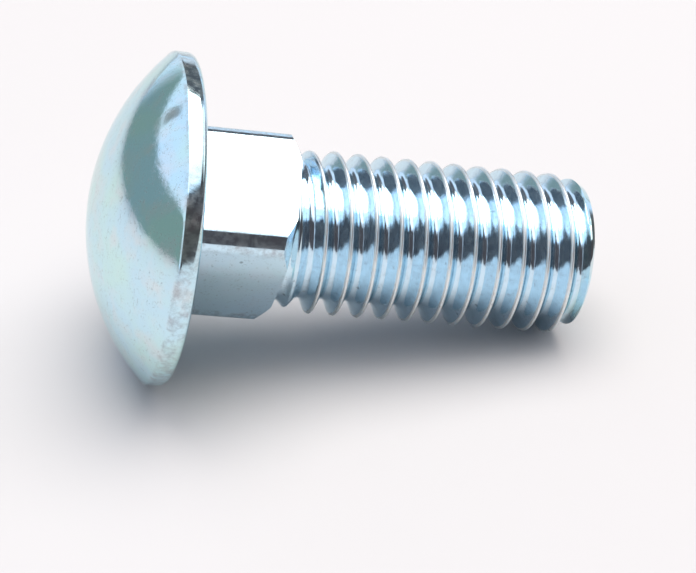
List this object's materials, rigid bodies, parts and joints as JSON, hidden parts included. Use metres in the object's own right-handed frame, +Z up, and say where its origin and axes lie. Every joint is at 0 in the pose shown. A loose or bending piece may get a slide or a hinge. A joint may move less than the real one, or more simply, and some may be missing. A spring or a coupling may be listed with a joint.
{
  "type": "carriage bolt",
  "caption": "Round-head, square-neck bolt with a coarse right-hand thread, lying as it comes to rest on the rim of its head and a thread crest at its tip.",
  "frame": {"origin": "on the floor, under the middle of the lying bolt's bounding box", "axes": "+X along the floor towards the threaded tip, with the shank sloping down to it by 11.6 degrees, +Z up"},
  "size_m": [0.0392, 0.0254, 0.0251],
  "materials": {
    "zinc_plated_steel": "bright electroplated zinc with a clear blue passivate"
  },
  "bodies": {
    "root": {"carriage_bolt": "zinc_plated_steel"}
  },
  "joints": []
}
